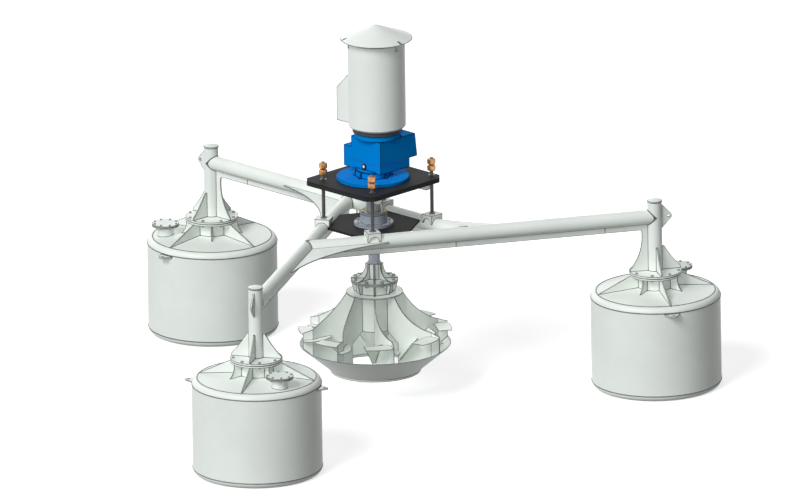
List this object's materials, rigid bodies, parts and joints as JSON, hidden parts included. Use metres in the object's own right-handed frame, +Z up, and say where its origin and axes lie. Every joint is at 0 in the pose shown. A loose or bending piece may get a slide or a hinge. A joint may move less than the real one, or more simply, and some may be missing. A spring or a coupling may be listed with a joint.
{
  "type": "surface aerator",
  "caption": "Floating surface aerator: three drum floats on tubular arms carry a geared vertical drive over a bladed bowl impeller, with screws that set its depth.",
  "frame": {"origin": "on the shaft axis in the plane of the intake mouth, the lower edge of the impeller's bowl", "axes": "+Z up along the shaft; +Y along the first arm, towards its float; +X to the right of it, towards that arm's line"},
  "size_m": [5.6426, 5.4311, 3.561],
  "materials": {
    "float_paint": "satin",
    "frame_paint": "satin",
    "bolt_steel": "satin",
    "yellow_zinc": "satin",
    "gasket_rubber": "matte",
    "dark_plate": "satin",
    "bearing_steel": "satin",
    "bush_bronze": "satin",
    "rib_paint": "satin",
    "gearbox_paint": "gloss",
    "plug_plastic": "matte",
    "ground_steel": "satin",
    "cast_stator": "matte",
    "fan_plastic": "matte",
    "shell_paint": "satin",
    "impeller_steel": "satin",
    "screw_steel": "satin"
  },
  "bodies": {
    "frame": {"float_1": "float_paint", "float_2": "float_paint", "float_3": "float_paint", "float_necks": "float_paint", "float_lugs": "float_paint", "hatch_necks": "float_paint", "post_1": "frame_paint", "post_2": "frame_paint", "post_3": "frame_paint", "post_caps": "frame_paint", "arm_1": "frame_paint", "arm_2": "frame_paint", "arm_3": "frame_paint", "arm_webs": "frame_paint", "knee_gussets": "frame_paint", "mooring_lugs": "frame_paint", "hatch_covers": "frame_paint", "jack_saddles": "frame_paint", "post_bolts": "bolt_steel", "hatch_bolts": "bolt_steel", "housing_bolts": "bolt_steel", "cover_bolts": "yellow_zinc", "hatch_gaskets": "gasket_rubber", "guide_plate": "dark_plate", "guide_housing": "bearing_steel", "guide_cover": "bearing_steel", "guide_bush": "bush_bronze"},
    "platform": {"drive_plate": "dark_plate", "plate_ribs": "rib_paint", "lift_bushes": "bush_bronze", "gearbox_base": "gearbox_paint", "gearbox_case": "gearbox_paint", "base_bolts": "bolt_steel", "oil_plug": "plug_plastic", "output_bearings": "ground_steel", "idler_bearings": "ground_steel", "motor_flange": "dark_plate", "motor_stator": "cast_stator", "motor_bearings": "ground_steel", "motor_cover": "shell_paint", "rain_cap": "shell_paint", "cap_straps": "shell_paint", "terminal_hood": "shell_paint"},
    "impeller": {"output_shaft": "ground_steel", "output_wheel": "ground_steel", "impeller_hub": "impeller_steel", "impeller_core": "impeller_steel", "impeller_blades": "impeller_steel", "impeller_bowl": "impeller_steel", "roof_fins": "impeller_steel", "lens_fins": "impeller_steel", "scoop_walls": "impeller_steel", "hub_bolts": "bolt_steel"},
    "idler": {"idler_gears": "ground_steel"},
    "motor_shaft": {"motor_rotor": "ground_steel", "cooling_fan": "fan_plastic"},
    "screw_1": {"jack_screw_1": "screw_steel"},
    "screw_2": {"jack_screw_2": "screw_steel"},
    "screw_3": {"jack_screw_3": "screw_steel"},
    "screw_4": {"jack_screw_4": "screw_steel"}
  },
  "joints": [
    {"name": "platform_lift", "type": "slide", "parent": "frame", "child": "platform", "axis": [0, 0, 1], "range_m": [-0.05, 0.035]},
    {"name": "impeller_spin", "type": "hinge", "parent": "platform", "child": "impeller", "pos_m": [0, 0, 1.4], "axis": [0, 0, 1], "continuous": true},
    {"name": "idler_spin", "type": "hinge", "parent": "platform", "child": "idler", "pos_m": [0.168, 0, 2], "axis": [0, 0, 1], "continuous": true},
    {"name": "motor_spin", "type": "hinge", "parent": "platform", "child": "motor_shaft", "pos_m": [0.063, 0, 2.6], "axis": [0, 0, 1], "continuous": true},
    {"name": "screw_turn_1", "type": "hinge", "parent": "frame", "child": "screw_1", "pos_m": [0.443, 0.319, 1.7], "axis": [0, 0, 1], "range_deg": [-2200, 3100]},
    {"name": "screw_turn_2", "type": "hinge", "parent": "frame", "child": "screw_2", "pos_m": [-0.333, 0.31927, 1.7], "axis": [0, 0, 1], "range_deg": [-2200, 3100]},
    {"name": "screw_turn_3", "type": "hinge", "parent": "frame", "child": "screw_3", "pos_m": [-0.333, -0.31927, 1.7], "axis": [0, 0, 1], "range_deg": [-2200, 3100]},
    {"name": "screw_turn_4", "type": "hinge", "parent": "frame", "child": "screw_4", "pos_m": [0.443, -0.319, 1.7], "axis": [0, 0, 1], "range_deg": [-2200, 3100]}
  ],
  "couplings": [
    {"joint": "idler_spin", "follows": "impeller_spin", "ratio": -4.25},
    {"joint": "motor_spin", "follows": "impeller_spin", "ratio": 15.583},
    {"joint": "screw_turn_1", "follows": "platform_lift", "rad_per_m": -1047.2},
    {"joint": "screw_turn_2", "follows": "platform_lift", "rad_per_m": -1047.2},
    {"joint": "screw_turn_3", "follows": "platform_lift", "rad_per_m": -1047.2},
    {"joint": "screw_turn_4", "follows": "platform_lift", "rad_per_m": -1047.2}
  ]
}
